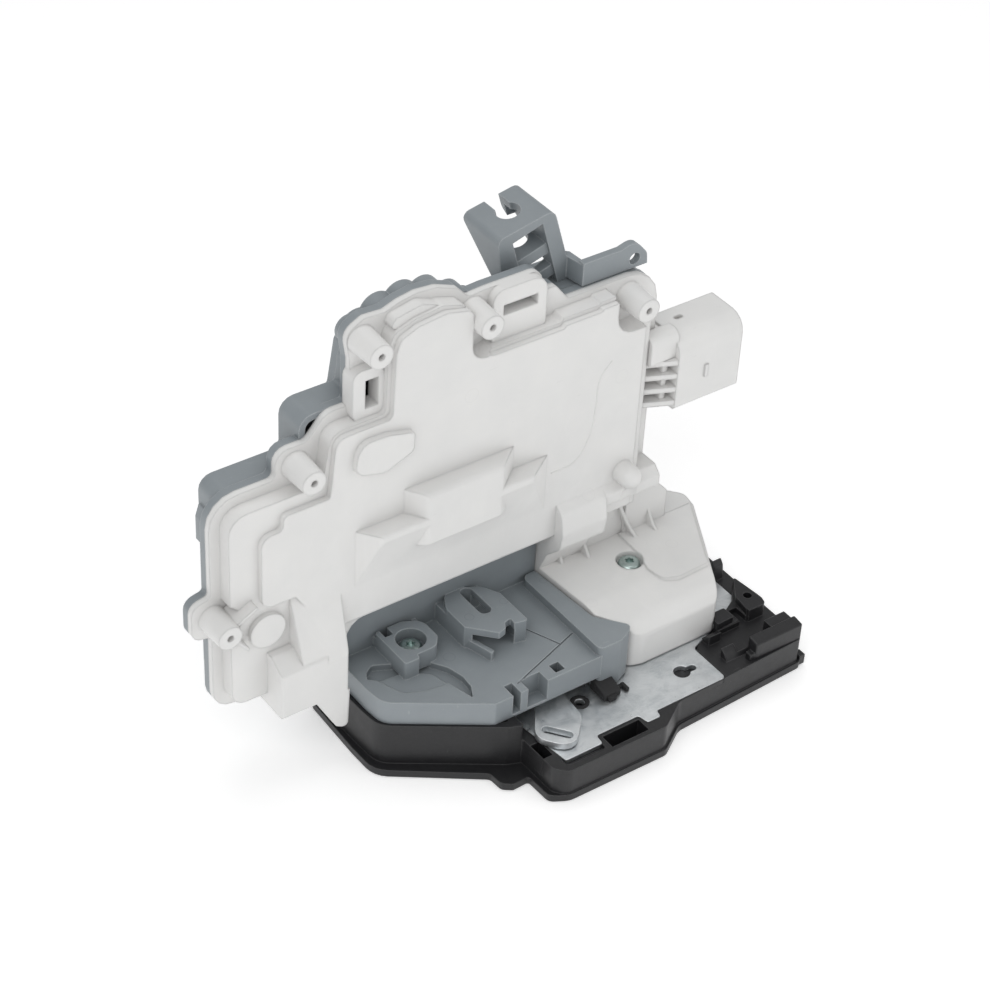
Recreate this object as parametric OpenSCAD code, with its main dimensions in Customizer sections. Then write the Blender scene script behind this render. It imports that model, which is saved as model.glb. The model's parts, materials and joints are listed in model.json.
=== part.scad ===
// Door latch actuator: a rotary door latch in a steel and plastic base, with
// the central-locking drive in a two-part moulded case that stands on it.
// Frame: X along the face plate, Y from the visible cover towards the far
// side, Z up from the outer face of the face plate. The origin is the middle
// of the two M8 holes in the face plate.

/* [Face plate and base] */
// Distance between the two M8 holes
bolt_pitch = 72; // [68:1:76]
// Core hole of the M8 thread
bolt_core_d = 6.8; // [6.6:0.1:7]
// Thickness of the steel face plate
face_t = 3; // [2.5:0.1:3.2]
// Height of the top of the steel back plate
back_top = 12.5; // [12.3:0.1:12.8]
// Thickness of the steel back plate
back_t = 2; // [1.6:0.1:2.2]
// Width of the slot that takes the striker
mouth_w = 14; // [12:0.5:15]

/* [Catch and pawl] */
// Thickness of the catch and the pawl
catch_t = 5; // [4.5:0.1:5.4]
// Diameter of the catch pin
catch_pin_d = 8; // [7:0.5:9]
// Diameter of the pawl pin
pawl_pin_d = 7; // [6:0.5:8]
// Running clearance on the radius of a pin
pin_gap = 0.05; // [0.03:0.01:0.08]
// Thickness of the release lever
lever_t = 2.4; // [2:0.1:2.6]

/* [Case] */
// Depth of the front face of the white cover's rim
rim_y = 26.6; // [26.6:0.1:26.8]
// Thickness of that rim
rim_t = 2.2; // [2:0.1:2.4]
// Wall of the white cover
cover_wall = 2.2; // [2:0.1:2.4]
// Wall of the grey shell
shell_wall = 2.2; // [2:0.1:2.4]
// Outer face of the grey shell's back wall
shell_back = 40; // [39.5:0.5:41]
// Height of the panel over the rim of the cover
panel_rise = 5.2; // [5:0.1:5.5]
// Outer diameter of the screw bosses
boss_d = 8.6; // [8:0.2:9]
// Length of the screw bosses over the rim
boss_len = 11; // [10:0.5:12]

/* [Drive] */
// Gear module of the lock drive
gear_m = 1; // [0.95:0.01:1]
// Teeth of the worm wheel
wheel_teeth = 28; // [24:1:32]
// Teeth of the rack pinion
pinion_teeth = 12; // [10:1:14]
// Play between the flanks of two teeth
backlash = 0.4; // [0.35:0.05:0.5]

/* [Hidden] */
$fn = 40;
eps = 0.02;

white = [0.86, 0.86, 0.85];
grey = [0.47, 0.5, 0.52];
black = [0.13, 0.13, 0.14];
zinc = [0.72, 0.74, 0.75];
steel = [0.6, 0.61, 0.62];
brass = [0.78, 0.66, 0.38];
amber = [0.75, 0.72, 0.6];

// places of the pins and the striker, x and y
catch_at = [-20, 10];
pawl_at = [18, 12];
striker_at = [0, 8];
lever_at = [-33, 14];
bar_pin_at = [-38.5, -6];
peg_at = [12, -6];
collar_at = [-70, 18.5];
foot_screw_at = [13.4, 13.4];

// layers of the latch, z
catch_z = face_t + 0.4;
lever_z = back_top + 0.4;
bar_z = lever_z + lever_t + 0.5;
floor_z = 27.5;
left_wall_z = 18.6;
foot_top = 32;
part_y = rim_y + rim_t;

// drive geometry
worm_r = 3.5 * gear_m;
wheel_r = gear_m * wheel_teeth / 2;
pinion_r = gear_m * pinion_teeth / 2;
lock_worm_at = [-47, 30.4, 72];
lock_wheel_at = [lock_worm_at[0], lock_worm_at[1], lock_worm_at[2] + worm_r + wheel_r];
safe_worm_at = [-74, 42, 121];
safe_wheel_at = [safe_worm_at[0] + worm_r + wheel_r, safe_worm_at[1], safe_worm_at[2]];

// screw bosses of the cover, x and z
bosses = [[-85.2, 149.4], [-46.2, 145.4], [-107.7, 113.2], [-136.7, 67.4], [13.4, 129.8]];

function unit(v) = v / norm(v);
function flat(p) = [p[0], p[1]];
function fillet(a, b, c, r, n) =
    let (u = unit(a - b), v = unit(c - b),
        half = acos(max(-1, min(1, u * v))) / 2)
    r <= 0 || half > 89.5 ? [b] :
    let (d = min(r / tan(half), 0.48 * norm(a - b), 0.48 * norm(c - b)), k = d * tan(half),
        m = b + unit(u + v) * k / sin(half),
        p = b + u * d, q = b + v * d,
        a0 = atan2(p[1] - m[1], p[0] - m[0]),
        turn = atan2(q[1] - m[1], q[0] - m[0]) - a0,
        t = turn > 180 ? turn - 360 : turn < -180 ? turn + 360 : turn)
    [for (i = [0:n]) m + k * [cos(a0 + t * i / n), sin(a0 + t * i / n)]];
// outline with the radius of each corner as its third value
function rounded(q, n = 4) = [for (i = [0:len(q) - 1])
    each fillet(flat(q[(i + len(q) - 1) % len(q)]), flat(q[i]),
        flat(q[(i + 1) % len(q)]), q[i][2], n)];
function side_normal(a, b) = let (u = unit(flat(b) - flat(a))) [-u[1], u[0]];
// the same outline moved inwards by d
function inset(q, d) = [for (i = [0:len(q) - 1])
    let (a = q[(i + len(q) - 1) % len(q)], b = q[i], c = q[(i + 1) % len(q)],
        n1 = side_normal(a, b), n2 = side_normal(b, c),
        m = (n1 + n2) / (1 + n1 * n2),
        turn = (b[0] - a[0]) * (c[1] - b[1]) - (b[1] - a[1]) * (c[0] - b[0]),
        r = b[2] <= 0 ? 0 : turn > 0 ? max(b[2] - d, 0.2) : b[2] + d)
    [b[0] + m[0] * d, b[1] + m[1] * d, r]];
function shifted(q, dx, dy) = [for (p = q) [p[0] + dx, p[1] + dy, p[2]]];
function turned(p, a) = [p[0] * cos(a) - p[1] * sin(a), p[0] * sin(a) + p[1] * cos(a)];

// a slab of an outline in x and y, between two heights
module slab(q, z0, z1, n = 4) {
    translate([0, 0, z0]) linear_extrude(z1 - z0) polygon(rounded(q, n));
}
// a slab of an outline in x and z, between two depths
module wall(q, y0, y1, n = 4) {
    translate([0, y1, 0]) rotate([90, 0, 0]) linear_extrude(y1 - y0) polygon(rounded(q, n));
}
// a slab of an outline in y and z, between two places along x
module rib(q, x0, x1, n = 4) {
    translate([x0, 0, 0]) rotate([90, 0, 90]) linear_extrude(x1 - x0) polygon(rounded(q, n));
}
module disc_z(c, r, z0, z1) { translate([c[0], c[1], z0]) cylinder(h = z1 - z0, r = r); }
module disc_y(c, r, y0, y1) { translate([c[0], y1, c[1]]) rotate([90, 0, 0]) cylinder(h = y1 - y0, r = r); }
module disc_x(c, r, x0, x1) { translate([x0, c[0], c[1]]) rotate([0, 90, 0]) cylinder(h = x1 - x0, r = r); }
module block(a, b) { translate(a) cube(b - a); }
module slot_z(a, b, w, z0, z1) {
    d = b - a;
    translate([a[0], a[1], z0]) rotate([0, 0, atan2(d[1], d[0])]) {
        translate([0, -w / 2, 0]) cube([norm(d), w, z1 - z0]);
        cylinder(h = z1 - z0, d = w);
        translate([norm(d), 0, 0]) cylinder(h = z1 - z0, d = w);
    }
}

// outlines of the base, x and y
base_line = [[-50, -40, 7], [-11.2, -40.3, 4], [-0.8, -33.6, 6], [53, -31.4, 2], [53, 44, 6],
    [-93, 44, 7], [-92.3, 14, 0], [-91.6, 3.8, 8], [-58, -18.7, 2], [-53.3, -20.5, 1], [-53, -36, 3]];
flange_line = [[-49, -40.6, 7], [-10.8, -40.9, 4], [-0.6, -34.4, 6], [53.6, -32.1, 2], [53.6, 44.6, 6],
    [-93.6, 44.6, 7], [-94.6, 14, 0], [-94.4, 1.8, 9], [-64.6, -19.4, 2], [-64.2, -25, 2.4], [-61.2, -27.2, 1.6],
    [-55.2, -27, 1], [-54.8, -37.4, 3]];
left_line = [[-53.2, -20.7, 0.6], [-53.2, 44, 1], [-93, 44, 7], [-92.3, 14, 0], [-91.6, 3.8, 8], [-58, -18.7, 2]];
plate_line = [[-47.5, -35.4, 1], [-33, -35.4, 1], [-32.6, -31.6, 1], [-16, -31.6, 1], [-15.2, -35.6, 1],
    [-10, -35.6, 1], [-9.4, -32.8, 1], [19.3, -32.6, 1.5], [19.3, -16, 2], [47, -6, 4], [47, 41, 5],
    [-50, 41, 5], [-50, -16, 3]];

function mouth_line(grow) = [[-mouth_w / 2 - grow, 1 - grow, mouth_w / 2 - 0.5 + grow],
    [mouth_w / 2 + grow, 1 - grow, mouth_w / 2 - 0.5 + grow],
    [mouth_w / 2 + grow, 60, 0], [-mouth_w / 2 - grow, 60, 0]];

module bolt_holes(d, z0, z1) {
    for (s = [-1, 1]) disc_z([s * bolt_pitch / 2, 0], d / 2, z0, z1);
}

module face_plate() color(steel) {
    difference() {
        union() {
            slab([[-52, -22, 6], [44, -24, 6], [47, 40, 8], [-56, 40, 8]], 0, face_t);
        }
        slab(mouth_line(0), -1, face_t + 1);
        bolt_holes(bolt_core_d, -1, face_t + 4);
        disc_z(catch_at, 3, -1, face_t + 1);
        disc_z(pawl_at, 2.75, -1, face_t + 1);
        for (p = [[-50, 30], [36, 32]]) disc_z(p, 2.2, -1, face_t + 1);
    }
}

// moulded tray that holds the latch, with the cable cradle at its right end
module latch_housing() color(black) {
    difference() {
        union() {
            slab(base_line, 0, back_top);
            slab(left_line, 0, left_wall_z);
            slab(flange_line, 0, 2.6);
            cable_cradle();
            // small lugs at the right end and the post behind the foot
            block([53, -31.6, 0.6], [55.2, -28.6, 4.4]);
            rib([[5, 0, 0], [9.5, 0, 0], [9.5, 20.5, 0.5], [7.5, 18, 0.5]], 46.6, 50.2);
        }
        // seat and clear space of the two steel plates
        slab([[-52.1, -22.1, 6], [44.1, -24.1, 6], [47.1, 40.1, 8], [-56.1, 40.1, 8]], -1, face_t + 0.01);
        slab(inset(plate_line, -0.15), back_top - back_t - 0.01, back_top + 0.6);
        slab([[-46, -18, 5], [18, -19, 3], [30, -7, 5], [44, -2, 4], [45, 38, 5], [-47, 38, 5]], 1, back_top);
        slab(mouth_line(1), -1, 30);
        // hollow left end, closed by the grey cover
        slab([[-55.7, -16.6, 1], [-55.7, 41, 2], [-90.5, 41, 5], [-90, 14, 0], [-89.4, 4.9, 6], [-58.6, -15.7, 1.5]],
            4, left_wall_z + 1);
        // pockets in the front rim
        block([-31.5, -38.4, 3.5], [-17, -33, back_top + 1]);
        block([-53, -31, 5], [-49.4, -24, back_top + 1]);
        slab([[-48.5, -37.6, 2], [-33.5, -37.6, 1], [-33.5, -34, 1], [-48.5, -34, 1]], back_top - 1.6, back_top + 1);
    }
    // boss of the case screw in the left end
    difference() {
        disc_z(collar_at, 4, 3, left_wall_z - 1);
        disc_z(collar_at, 1.6, 8, left_wall_z);
    }
}

// trough for the sleeve of the pull cable, open at the top
module cable_cradle() {
    difference() {
        union() {
            // sloping front wall with its thicker right half
            rib([[-31.3, 0, 0], [-22.4, 0, 0], [-24.6, 17.5, 0.4], [-27.7, 17.5, 0.4]], 35.4, 51.7);
            rib([[-29, 0, 0], [-16, 0, 0], [-22.3, 18.2, 0.4], [-27.8, 18.2, 0.4]], 43, 51.7);
            disc_x([-20.5, 9.4], 7.4, 24, 43);
            // rear wall with the gusset plate
            slab([[31.8, -15.4, 0.6], [38.8, -15, 0.6], [42.4, -15.4, 0.6], [49.8, -15.4, 1.5], [50.6, -12.5, 1],
                [50.5, -10.4, 0.5], [49.3, 1, 0.5], [43.5, -6, 2], [38.8, -8.5, 1], [36.5, -9.8, 0.5],
                [31.8, -11.4, 0.5]], 0, 14.8);
            slab([[29.6, -15.2, 0.6], [36.6, -14.9, 0.6], [36.4, -9.8, 0.6], [30.4, -9.8, 1.2]], 0, 17.5);
            slab([[42.4, -15.4, 0.6], [49.8, -15.4, 1.5], [50.6, -12.5, 1], [50.5, -10.4, 0.5], [49.3, 1, 0.5],
                [43.5, -7.5, 2]], 0, 17.5);
        }
        // trough, its narrower outlet and the drop slot for the sleeve's collar
        disc_x([-20.8, 12.5], 5.4, 29, 43);
        disc_x([-20.8, 12.5], 3, 20, 43);
        disc_x([-19, 12.5], 3.4, 42, 60);
        block([29, -26.2, 12.5], [43.1, -15.6, 30]);
        block([42, -22.4, 12.5], [60, -15.6, 30]);
        block([20, -23.8, 12.5], [43, -17.8, 30]);
        slab(inset(foot_line, -0.35), back_top, 60);
        rib([[-27, 12, 0], [-15, 12, 0], [-14, 18.5, 0], [-28, 18.5, 0]], 40.2, 42.8);
        block([38.9, -16.5, 5], [42.3, -9.5, 20]);
        disc_z([47.3, -9], 1.5, 6, 20);
        disc_z([26.5, -24], 2, -1, 6);
    }
}

module back_plate() color(steel) {
    difference() {
        slab(plate_line, back_top - back_t, back_top);
        slab(mouth_line(0.4), 0, 20);
        disc_z(catch_at, 2.75, 0, 20);
        disc_z(pawl_at, 2.25, 0, 20);
        disc_z([8.8, -22.8], 2.8, 0, 20);
        slot_z([8.8, -22.8], [13, -23], 2.6, 0, 20);
        slot_z(peg_at, peg_at + [6, -0.8], 5.4, 0, 20);
        disc_z(lever_at, 2.5, 0, 20);
        disc_z([-28, -16.5], 1.6, 0, 20);
    }
}

module catch_pin() color(steel) {
    disc_z(catch_at, 2.97, 0.2, face_t);
    disc_z(catch_at, catch_pin_d / 2, face_t, back_top - back_t);
    disc_z(catch_at, 2.72, back_top - back_t - eps, back_top + 0.3);
    disc_z(catch_at, 3.8, back_top, back_top + 1.1);
}
module pawl_pin() color(steel) {
    disc_z(pawl_at, 2.72, 0.2, face_t);
    disc_z(pawl_at, pawl_pin_d / 2, face_t, back_top - back_t);
    disc_z(pawl_at, 2.22, back_top - back_t - eps, back_top + 0.3);
    disc_z(pawl_at, 3.4, back_top, back_top + 1.1);
}

// The catch is drawn in its closed place and turned back to open.
// Its slot holds the striker. The pawl's nose rides on its round rim and
// drops behind the step at the rim's end.
catch_open = 62;
function catch_outline() = concat([[-10.5, 9.5, 6], [-11.5, -8, 6]],
    [for (a = [-98:10:-48]) [24.6 * cos(a), 24.6 * sin(a), 0]],
    [[20, -14.3, 0.4], [17.3, -12.3, 0.8], [23.4, -8.9, 0.3], [24.2, 3, 0.6], [23.2, 8.4, 3],
    [19, 13, 5], [4, 15.5, 7]]);
module catch_shape(grow, z0, z1) {
    translate([catch_at[0], catch_at[1], 0]) rotate([0, 0, catch_open]) difference() {
        slab(inset(catch_outline(), -grow), z0, z1);
        slab([[striker_at[0] - catch_at[0] - 5.2 + grow, -8 + grow, 4.5], [40, -11 + grow, 0], [40, 3.5 - grow, 0],
            [striker_at[0] - catch_at[0] - 5.2 + grow, 3 - grow, 4.5]], z0 - 1, z1 + 1);
    }
}
module catch_core() { catch_shape(-1.2, catch_z, catch_z + catch_t); }
module catch() color(steel) {
    difference() {
        catch_core();
        disc_z(catch_at, catch_pin_d / 2 + pin_gap, 0, 20);
    }
}
// plastic jacket moulded round the catch's rim
module catch_jacket() color(black) {
    difference() {
        catch_shape(0, catch_z + 0.2, catch_z + catch_t - 0.2);
        catch_shape(-1.2, catch_z - 1, catch_z + catch_t + 1);
    }
}
module spring_coil(c, r, wire, z0, turns, legs) {
    difference() {
        disc_z(c, r + wire / 2, z0 - wire / 2, z0 + (turns - 0.5) * wire);
        disc_z(c, r - wire / 2, z0 - wire, z0 + turns * wire);
    }
    for (leg = legs) translate([c[0], c[1], z0 + leg[2]]) rotate([0, 0, leg[0]]) translate([r, 0, 0])
        rotate([-90, 0, 0]) cylinder(h = leg[1], d = wire);
}
module catch_spring() color(zinc)
    spring_coil(catch_at, 5.4, 0.7, catch_z + catch_t + 0.5, 2, [[160, 9, 0], [-20, -8, 0.8]]);

// one riveted steel stamping: nose, hub, tail with its peg
module pawl() color(steel) {
    difference() {
        union() {
            slab([[1.1, -3.7, 0.5], [4.2, -7.6, 0.7], [13, 1.5, 0.4], [9.2, -6.5, 2.5], [12, -9.6, 2], [15.2, -6.8, 3],
                [24.5, 8, 5], [23, 18.5, 5], [13.5, 18.2, 5], [10.5, 9.5, 3]], catch_z, catch_z + catch_t);
            disc_z(peg_at, 2, catch_z + catch_t - 1, bar_z + 2);
        }
        disc_z(pawl_at, pawl_pin_d / 2 + pin_gap, 0, 20);
    }
}
module pawl_spring() color(zinc)
    spring_coil(pawl_at, 4.8, 0.7, catch_z + catch_t + 0.5, 2, [[30, 10, 0], [250, -7, 0.8]]);
module catch_buffer() color(black)
    slab([[-25, 35.1, 1], [-11, 35.1, 1], [-11, 38, 0], [-25, 38, 0]], catch_z, back_top - back_t - 0.1);

// pull lever of the outside handle, with its slot for the cable's nipple
module release_lever() color(zinc) {
    difference() {
        slab([[-51.6, -24.2, 5], [-43.2, -34.8, 5], [-32.8, -24, 6], [-31.4, -8, 3], [-26.4, 8, 4], [-27, 21, 6.5],
            [-39.5, 21, 6.5], [-40.4, 4, 4], [-42.6, -12, 4]], lever_z, lever_z + lever_t);
        slot_z([-46.2, -23.2], [-41.9, -28.7], 3.2, 0, 30);
        slot_z([-38.1, -4.5], [-38.9, -7.5], 3.6, 0, 30);
        disc_z(lever_at, 3 + pin_gap, 0, 30);
    }
}
module lever_pivot() color(steel) {
    disc_z(lever_at, 2.47, back_top - back_t, back_top + eps);
    disc_z(lever_at, 4.4, back_top, lever_z - 0.1);
    disc_z(lever_at, 3, back_top + 0.1, lever_z + lever_t + 0.12);
    disc_z(lever_at, 4.6, lever_z + lever_t + 0.1, lever_z + lever_t + 1.1);
}
// sliding link from the lever to the pawl's peg
module release_bar() color(zinc) {
    difference() {
        slab([[-42, -9, 2.5], [-8, -9, 2], [-5, -8, 2], [peg_at[0] - 2.3, -8, 0.6], [peg_at[0] - 2.3, -4, 0.6],
            [-5, -4, 2], [-8, -3, 2], [-42, -3, 2.5]], bar_z, bar_z + 2);
        slot_z([-24, -6], [-16, -6], 2.6, 0, 30);
    }
    disc_z(bar_pin_at, 1.5, lever_z - 0.05, bar_z + 1);
}

// outline of the grey cover's floor, x and y
cover_line = [[-91, 42.6, 2], [-91, 12, 0], [-90.2, 4, 7], [-61, -15.5, 2], [-17, -15.5, 3], [-17, 42.6, 0]];
ridge_line = [[-20.6, -15.6, 2], [-12, -15.6, 1], [-7.5, -13.6, 3], [-5, -11.2, 3], [-13, -1.4, 2], [-15.2, 27, 0],
    [-20.6, 27, 3]];

module latch_cover() color(grey) {
    difference() {
        union() {
            slab(cover_line, left_wall_z, floor_z);
            slab(ridge_line, 13.2, foot_top - 1.2);
            // wall that rises behind the rim of the white cover
            block([-88.6, rim_y + 1.2, floor_z - 1], [-14.8, part_y + 2.6, 44.6]);
            block([-92, part_y + 0.3, floor_z - 1], [-14.8, part_y + 2.6, 54]);
            // plate under the white foot, with the screw's boss
            slab([[-11, 29.4, 0], [-9.2, -0.4, 1], [-2.4, -9, 2], [24, -9.9, 4], [28, -7.6, 3], [35, 8, 3], [39.6, 29.4, 0]],
                19.4, 21.6);
            slab([[-18, 29.2, 0], [24, 29.2, 0], [24, 42.6, 4], [-18, 42.6, 0]], 19.4, 21.6);
            disc_z(foot_screw_at, 4, 15, foot_top - 5.3);
        }
        // hollow underside
        difference() {
            slab(inset(cover_line, 2.2), left_wall_z - 1, floor_z - 2.2);
            disc_z(collar_at, 5, left_wall_z, floor_z);
            block([-95, -20, floor_z - 4.6], [-60.5, 24, 40]);
            block([-57, -20, 0], [-31, -8, 40]);
        }
        slab(inset(ridge_line, 2), 12, foot_top - 3.2);
        // curved recess in the left of the floor, and the parting lines of its plates
        slab([[-88.4, 15.4, 0.5], [-86.8, 18.2, 1], [-83.5, 20.2, 2], [-77.7, 17.3, 3], [-69, 14.2, 4], [-63.8, 6.4, 5],
            [-62.3, 0.6, 4], [-62.7, -4.5, 2], [-65.2, -9.2, 0.3], [-67.7, 0.2, 0.6], [-75.5, 1.2, 4], [-82.4, 4.1, 4],
            [-86.1, 13.6, 0.4]], floor_z - 2.4, 40);
        slot_z([-49.6, -11.4], [-21, -1.6], 0.5, floor_z - 0.5, 40);
        slot_z([-33.5, 10.6], [-27.4, -3.6], 0.5, floor_z - 0.5, 40);
        // notches in the front edge
        block([-54.2, -20, left_wall_z + 1], [-51.2, -10.2, 40]);
        block([-48.4, -20, left_wall_z + 1], [-40.8, -10.6, 40]);
        block([-36.6, -13.8, 20], [-33, -10, 40]);
        disc_z(collar_at, 1.7, 10, 40);
        disc_z(foot_screw_at, 1.4, 15.6, 40);
        // clear space of the rivet head and of the sliding link
        disc_z(catch_at, 4.4, 12, 14.2);
        block([-22, -9.6, bar_z - 0.5], [2, -2.4, bar_z + 2.5]);
    }
    cover_collar();
    cable_block();
    // lens in the recess and the foot of the ridge that rests on the plate
    slab([[-86, 13.4, 0.5], [-82.6, 4, 4], [-75.5, 1, 5], [-67.7, 0.4, 0.5], [-69.4, 7.6, 4], [-76.4, 12.8, 5]],
        floor_z - 3, floor_z - 0.9);
    block([-15.4, -15.6, back_top + 0.1], [-12.6, -13.8, 14]);
}

// collar round the left screw
module cover_collar() {
    difference() {
        union() {
            slab([[-78, 9.5, 1], [-72.6, 9.5, 0.6], [-72.2, 11.4, 0.5], [-65, 11.4, 3], [-62, 15, 3], [-62, 24, 5],
                [-68, 27, 4], [-78, 27, 1]], floor_z - 1, floor_z + 6);
            for (x = [-78, -63.6]) block([x, 24, floor_z - 1], [x + 1.6, 28, floor_z + 4]);
        }
        disc_z(collar_at, 5, floor_z + 1.6, 50);
        disc_z(collar_at, 1.7, 10, 50);
        block([-76.4, 23.4, floor_z + 1.6], [-73.4, 30, 50]);
    }
}

// bridge that a cable clips into: a raised plate on walls, with a slot and a hook
module cable_block() {
    top = floor_z + 8.6;
    difference() {
        union() {
            slab([[-54.3, 11.6, 0.6], [-46.6, 3.4, 0.6], [-43.6, 4.2, 0.4], [-42.2, 6.6, 0.3], [-39.6, 7.2, 0.3],
                [-39.9, 4.6, 0.2], [-35.2, 3.6, 0.8], [-35.2, 19, 1], [-38.5, 25, 3], [-44, 28, 3], [-51, 28, 3],
                [-54.3, 22, 5]], top - 2.6, top);
            slab([[-54.3, 11.6, 0.6], [-52, 9.2, 0.4], [-52, 28, 0], [-54.3, 28, 0]], floor_z - 1, top - 2);
            slab([[-39.9, 4.6, 0.3], [-35.2, 3.6, 0.8], [-35.2, 19, 1], [-37.4, 19, 0.4], [-37.6, 7.4, 0.3]], floor_z - 1, top - 2);
            block([-54, 25.6, floor_z - 1], [-38, 28, top - 2]);
            slab([[-53.6, 11.6, 0.3], [-50.6, 1.4, 0.4], [-49.2, 2, 0.4], [-52, 12, 0.3]], floor_z - 1, floor_z + 3.4);
        }
        slot_z([-44, 15.4], [-44, 25], 4.4, floor_z + 1, 60);
    }
}

// rim of the white cover, x and z, counted from the lower left corner
rim_line = [[-137, 30, 7], [-89, 30, 1], [-89, 45, 9], [-14.5, 45, 1], [-14.5, 29, 0.5], [26, 29, 1],
    [26, 112, 4], [25, 136.6, 12], [-10, 136.6, 1], [-15, 143, 2], [-20.5, 143, 0.5], [-20.5, 151, 6], [-41, 151, 4],
    [-47.5, 150.6, 2], [-51.5, 154.8, 2], [-59, 157.8, 3], [-66, 158.4, 3], [-72, 157.4, 2], [-77, 155.6, 2],
    [-84, 156, 3], [-90.6, 152.6, 5], [-89, 143, 3], [-89, 127.3, 1], [-97, 127.3, 6], [-103.5, 119.6, 3], [-114.3, 119.6, 6], [-114.3, 110, 2],
    [-137, 110, 10], [-137, 75, 1.5], [-143.6, 73.6, 4], [-143.6, 61, 4], [-137, 60, 2]];
// raised panel and its upper level
panel_line = [[-133.4, 33.6, 5], [-92.6, 33.6, 1], [-92.6, 48.6, 11], [19.5, 48.6, 0.5], [19.5, 135, 1],
    [-1, 135, 0.6], [-1.6, 134.2, 0.5], [-15, 134.2, 0.6], [-16, 133, 0.6], [-44, 133, 1], [-49.5, 146, 3],
    [-52.6, 152.4, 3], [-60, 154.8, 4], [-70, 153.6, 4], [-77.4, 151, 4], [-79, 145, 3], [-79.4, 123.6, 2], [-98.5, 123.6, 5], [-101.2, 106.4, 1], [-133.4, 106.4, 6.5]];
level_line = [[-123.6, 69.4, 4], [-112, 69.4, 1], [-100, 50.5, 3], [16.2, 50.5, 1], [16.2, 133.6, 1],
    [-1.4, 133.6, 0.6], [-2, 132.8, 0.5], [-15.4, 132.8, 0.6], [-16.4, 131.8, 0.6], [-43, 131.8, 1], [-48.3, 146, 3],
    [-51.6, 151.2, 2], [-60, 153.3, 4], [-70, 152.2, 4], [-76, 149.7, 3], [-77.6, 145, 3], [-78.2, 122.4, 2],
    [-97.8, 122.4, 4], [-99.8, 101.8, 1], [-116, 101.8, 2], [-116, 96.6, 2], [-123.6, 96.6, 4]];
foot_line = [[-14.9, 34, 0], [-12.2, -1.5, 1.5], [-4, -11.8, 3], [0, -12.9, 2], [30.4, -13, 4], [37.2, 1.6, 8],
    [49.8, 25, 4], [51, 31.4, 4], [46.6, 36.8, 4], [26.6, 36.8, 0], [26.6, 34, 0]];
level_y = rim_y - panel_rise - 2;

// block that leans: its plan in x and y cut by its side view in y and z
module leaning(plan, side, x0, x1) {
    intersection() { slab(plan, 0, 200); rib(side, x0, x1); }
}
module cover_bumps(d) {
    // two stepped bulges over the motor
    leaning([[-92.5 + d, 28, 0], [-92.5 + d, 21.4, 0], [-85.5 + d, 12.6 + d, 3], [-29.5 - d, 12.6 + d, 3],
        [-16.5 - d, 21.4, 0], [-16.5 - d, 28, 0]],
        [[28, 49 + d, 0], [28, 85.3 - d, 0], [12.6 + d, 85.3 - d, 2], [12.6 + d, 83 - d, 1], [24.6 + d, 49 + d, 0]], -100, 0);
    leaning([[-75 + d, 28, 0], [-75 + d, 21.4, 0], [-68.8 + d, 12.6 + d, 3], [-41.5 - d, 12.6 + d, 3],
        [-30.4 - d, 21.4, 0], [-30.4 - d, 28, 0]],
        [[28, 70, 0], [28, 94.2 - d, 0], [12.6 + d, 94.2 - d, 2], [12.6 + d, 75, 0]], -100, 0);
    // wedge at the lower left that grows downwards, and the box beside it
    leaning([[-113 + d, 28, 0], [-113 + d, 12.6 + d, 1], [-97 - d, 12.6 + d, 1], [-94.4 - d, 28, 0]],
        [[28, 28.8 + d, 0], [28, 70 - d, 0], [21.6 + d, 70 - d, 1], [12.6 + d, 44, 3], [12.6 + d, 28.8 + d, 1]], -125, -90);
    leaning([[-121 + d, 28, 0], [-121 + d, 12.6 + d, 1], [-104 - d, 12.6 + d, 1], [-104 - d, 28, 0]],
        [[28, 28.8 + d, 0], [28, 50 - d, 0], [19 + d, 50 - d, 1], [12.6 + d, 46 - d, 1], [12.6 + d, 28.8 + d, 1]], -125, -100);
}
module boss_seats(grow, y0, y1) {
    wall(inset([[-50.4, 132.2, 5.5], [-39.6, 132.2, 4.6], [-39.6, 170, 0], [-50.4, 170, 0]], -grow), y0, y1);
    wall(inset([[4.6, 121, 7], [40, 121, 0], [40, 150, 0], [4.6, 150, 0]], -grow), y0, y1);
    for (b = [bosses[0], bosses[2], bosses[3]]) disc_y(b, 7 + grow, y0, y1);
}

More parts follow.
